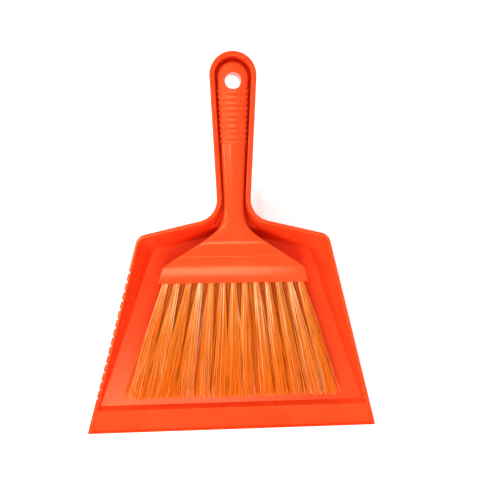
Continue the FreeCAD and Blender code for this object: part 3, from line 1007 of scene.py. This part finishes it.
@dataclass
class Tufts:
    """All the tufts: each is a bundle of loose filaments that fans out and frays."""

    strands: int = 84
    thick: float = 0.34 * MM
    segments: int = 6
    sides: int = 4
    root_radius: float = 2.45 * MM
    root_depth: float = 6.0 * MM
    left_splay: float = 0.05
    strays: float = 0.035
    bunches: int = 7
    tip_half_width: float = 8.2 * MM
    tip_half_height: float = 2.6 * MM
    tray_floor: float = 2.55 * MM
    seed: int = 20
    names: list[str] = field(init=False)
    face: float = field(init=False)
    trim: float = field(init=False)

    def __post_init__(self) -> None:
        """List the tufts, and find the face of the head and the trim line."""
        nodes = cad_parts
        self.names = sorted(name for name in nodes if name.startswith("tuft_") and name != "tuft_anchors")
        self.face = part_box("brush_body")[0].y
        self.trim = min(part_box(name)[0].y for name in self.names)

    def ends(self, name: str) -> tuple[Vector, Vector]:
        """Middle of a tuft at the face of the head and at the trim line.

        Args:
            name: the tuft's CAD node.

        Returns:
            The two points.
        """
        points = [corner.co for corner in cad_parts[name].data.vertices]
        tip = [point for point in points if point.y < self.trim + 0.2 * MM]
        end = sum(tip, Vector()) / len(tip)
        deep = max(point.y for point in points)
        inner = [point for point in points if point.y > deep - 1.5 * MM]
        start = sum(inner, Vector()) / len(inner)
        share = (start.y - self.face) / (start.y - end.y)
        return start.lerp(end, share), end

    def model_filament(self) -> bpy.types.Object:
        """One straight filament of radius 1 that stands on Z from 0 to 1, cut into segments.

        Returns:
            The filament that every bundle copies.
        """
        bpy.ops.object.select_all(action="DESELECT")
        bpy.ops.mesh.primitive_cylinder_add(
            vertices=self.sides, radius=1.0, depth=1.0, location=(0.0, 0.0, 0.0))
        filament = bpy.context.object
        bpy.ops.object.mode_set(mode="EDIT")
        bpy.ops.mesh.select_mode(type="EDGE")
        bpy.ops.mesh.select_all(action="DESELECT")
        mesh = bmesh.from_edit_mesh(filament.data)
        for edge in mesh.edges:
            if abs(edge.verts[0].co.z - edge.verts[1].co.z) > 0.5:
                edge.select = True
        bmesh.update_edit_mesh(filament.data)
        bpy.ops.mesh.subdivide(number_cuts=self.segments - 1)
        bpy.ops.mesh.select_mode(type="VERT")
        bpy.ops.mesh.select_all(action="SELECT")
        bpy.ops.transform.translate(value=(0.0, 0.0, 0.5))
        bpy.ops.object.mode_set(mode="OBJECT")
        return filament

    def lay(
        self, bundle: bmesh.types.BMesh, filament: bpy.types.Object, curve: list[Vector],
        radius: float, tone: float,
    ) -> None:
        """Add a copy of the filament to a bundle, laid along a curve.

        Args:
            bundle: the bundle.
            filament: the straight filament.
            curve: points from root to tip.
            radius: the copy's radius.
            tone: its tone, which sets how much painted shade and painted highlight it gets, written to
                its strand map.
        """
        first = len(bundle.verts)
        first_face = len(bundle.faces)
        bundle.from_mesh(filament.data)
        bundle.verts.ensure_lookup_table()
        bundle.faces.ensure_lookup_table()
        last = len(curve) - 1
        share = {}
        for corner in bundle.verts[first:]:
            index = round(corner.co.z * last)
            share[corner] = index / last
            along = (curve[min(index + 1, last)] - curve[max(index - 1, 0)]).normalized()
            side = along.cross(Vector((0, 0, 1))).normalized()
            up = side.cross(along)
            corner.co = curve[index] + (side * corner.co.x + up * corner.co.y) * radius
        strand = bundle.loops.layers.uv["strand"]
        for face in bundle.faces[first_face:]:
            for loop in face.loops:
                loop[strand].uv = (tone, share[loop.vert])

    def route(
        self, root: Vector, end: Vector, dice: random.Random, clump: Vector, reach: Vector,
    ) -> list[Vector]:
        """Centre line of one filament.

        Args:
            root: the tuft's middle at the head.
            end: the tuft's middle at the trim line.
            dice: the tuft's own random numbers.
            clump: where the filament's bunch gathers at the tips.
            reach: half width and half height of the tuft's tip.

        Returns:
            Points from inside the head to the tip.
        """
        along = (end - root).normalized()
        angle = dice.uniform(0, 2 * math.pi)
        out = math.sqrt(dice.random())
        start = root + Vector((math.cos(angle), 0, math.sin(angle))) * (out * self.root_radius)
        spread = Vector((math.cos(angle) * out * reach.x, 0, math.sin(angle) * out * reach.z))
        gather = dice.uniform(0.35, 0.85)
        target = end + spread * (1 - gather) + clump * gather
        target += Vector((dice.gauss(0, 0.9), 0, dice.gauss(0, 0.5))) * MM
        if root.x < 0:
            target.x *= 1.0 + self.left_splay
        if dice.random() < self.strays:
            target.x += math.copysign(dice.uniform(2.0, 7.0) * MM, target.x)
        target.y += dice.uniform(-1.4, 1.6) * MM + abs(dice.gauss(0, 1.8)) * MM
        bow = Vector((dice.gauss(0, 1.0), 0, dice.gauss(0.2, 0.6))) * MM
        curl = Vector((dice.gauss(0, 0.8), 0, dice.gauss(0, 0.4))) * MM
        points = [start - along * self.root_depth]
        for step in range(self.segments):
            share = step / (self.segments - 1)
            point = start.lerp(target, share)
            point += bow * math.sin(math.pi * share) + curl * (share * share * (1 - share) * 4)
            points.append(point)
        for point in points:
            point.z = max(point.z, self.tray_floor + self.thick)
        return points

    def build_one(self, filament: bpy.types.Object, name: str, order: int) -> bpy.types.Object:
        """One tuft's bundle.

        Args:
            filament: the straight filament.
            name: the tuft's CAD node.
            order: its place in the list, which seeds its random numbers.

        Returns:
            The bundle.
        """
        dice = random.Random(self.seed + 97 * order)
        root, end = self.ends(name)
        reach = Vector((self.tip_half_width, 0, self.tip_half_height))
        clumps = [
            Vector((dice.uniform(-1, 1) * reach.x, 0, dice.uniform(-1, 1) * reach.z))
            for _ in range(self.bunches)
        ]
        tones = [dice.random() for _ in clumps]
        bundle = bmesh.new()
        bundle.loops.layers.uv.new("strand")
        for _ in range(self.strands):
            bunch = dice.randrange(len(clumps))
            curve = self.route(root, end, dice, clumps[bunch], reach)
            radius = self.thick * dice.uniform(0.7, 1.25)
            tone = 0.5 * tones[bunch] + 0.5 * dice.random()
            # Painted light by row: the upper row gets high tones and more painted highlight, the lower
            # rows low tones and more painted shade.
            tone = 0.2 + 0.8 * tone if "upper" in name else 0.6 * tone
            self.lay(bundle, filament, curve, radius, tone)
        mesh = bpy.data.meshes.new(name.replace("tuft", "bristles"))
        bundle.to_mesh(mesh)
        bundle.free()
        piece = bpy.data.objects.new(mesh.name, mesh)
        bpy.context.scene.collection.objects.link(piece)
        smooth(piece, 60.0)
        return piece

    def build(self) -> dict[str, bpy.types.Object]:
        """Build every tuft's bundle.

        Returns:
            The bundles, by the CAD node that each stands for.
        """
        filament = self.model_filament()
        bundles = {name: self.build_one(filament, name, order) for order, name in enumerate(self.names)}
        bpy.data.objects.remove(filament)
        return bundles

    def dress(self, bundles: dict[str, bpy.types.Object]) -> None:
        """Give the bundles their finish and put them in place.

        Args:
            bundles: the bundles, by CAD node.
        """
        material = Filament().make()
        for name, bundle in bundles.items():
            dress(bundle, material)
            finish_piece(bundle, Body.BRUSH, name)


# ---------------------------------------------------------------- anchors


@dataclass
class Anchors:
    """The wire anchors that hold the tufts. They keep their CAD shape."""

    node: str = "tuft_anchors"

    def dress(self) -> None:
        """Give the anchors their metal."""
        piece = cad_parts[self.node]
        dress(piece, DrawnSteel().make())
        LOG.info("%s keeps its CAD shape", piece.name)


# ---------------------------------------------------------------- stage


@dataclass
class Studio:
    """Floor, lights, sky and camera."""

    camera_place: Point = (-0.0372, 0.0186, 0.6324)
    camera_turn: Point = (-1.84, -4.84, -0.62)
    lens: float = 52.0

    def floor(self) -> None:
        """Pale sheet under the set."""
        bpy.ops.object.select_all(action="DESELECT")
        bpy.ops.mesh.primitive_plane_add(size=6.0, location=(0, 0, 0))
        sheet = bpy.context.object
        sheet.name = "studio_sheet"
        sheet.data.materials.append(StudioFloor().make())

    def lamp(self, name: str, place: Point, size: tuple[float, float], power: float) -> None:
        """Soft lamp aimed at the middle of the set.

        Args:
            name: the lamp's name.
            place: where it stands.
            size: its width and height.
            power: watts.
        """
        data = bpy.data.lights.new(name, "AREA")
        data.shape = "RECTANGLE"
        data.size, data.size_y = size
        data.energy = power
        lamp = bpy.data.objects.new(name, data)
        lamp.location = place
        aim = Vector((0, 0, 0.02)) - Vector(place)
        lamp.rotation_euler = aim.to_track_quat("-Z", "Y").to_euler()
        bpy.context.scene.collection.objects.link(lamp)

    def sky(self, strength: float) -> None:
        """Even white light from all around.

        Args:
            strength: how bright it is.
        """
        world = bpy.data.worlds.new("studio")
        world.use_nodes = True
        background = world.node_tree.nodes["Background"]
        background.inputs["Color"].default_value = (1, 1, 1, 1)
        background.inputs["Strength"].default_value = strength
        bpy.context.scene.world = world

    def camera(self) -> None:
        """Camera that looks down on the set."""
        data = bpy.data.cameras.new("camera")
        data.lens = self.lens
        camera = bpy.data.objects.new("camera", data)
        camera.location = self.camera_place
        camera.rotation_euler = Euler([math.radians(angle) for angle in self.camera_turn], "XYZ")
        bpy.context.scene.collection.objects.link(camera)
        bpy.context.scene.camera = camera

    def build(self) -> None:
        """Set the stage."""
        self.floor()
        self.lamp("key", (-0.06, -0.36, 0.63), (0.4, 0.22), 3.2)
        self.lamp("edge", (-0.6, 0.1, 0.4), (0.05, 0.08), 1.8)
        self.lamp("spark", (-0.185, 0.1, 0.64), (0.05, 0.05), 0.6)
        self.lamp("top", (-0.3, 0.5, 0.6), (0.3, 0.3), 0.9)
        self.sky(0.45)
        self.camera()
        bpy.context.scene.view_settings.view_transform = "Standard"


def main() -> None:
    """Build the pan, the brush and the stage in order."""
    logging.basicConfig(level=logging.INFO, format="%(name)s %(message)s")
    pan = DustPan()
    pan.dress(pan.build())
    brush = BrushBody()
    brush.dress(brush.build())
    tufts = Tufts()
    tufts.dress(tufts.build())
    Anchors().dress()
    Studio().build()


if __name__ == "__main__":
    main()
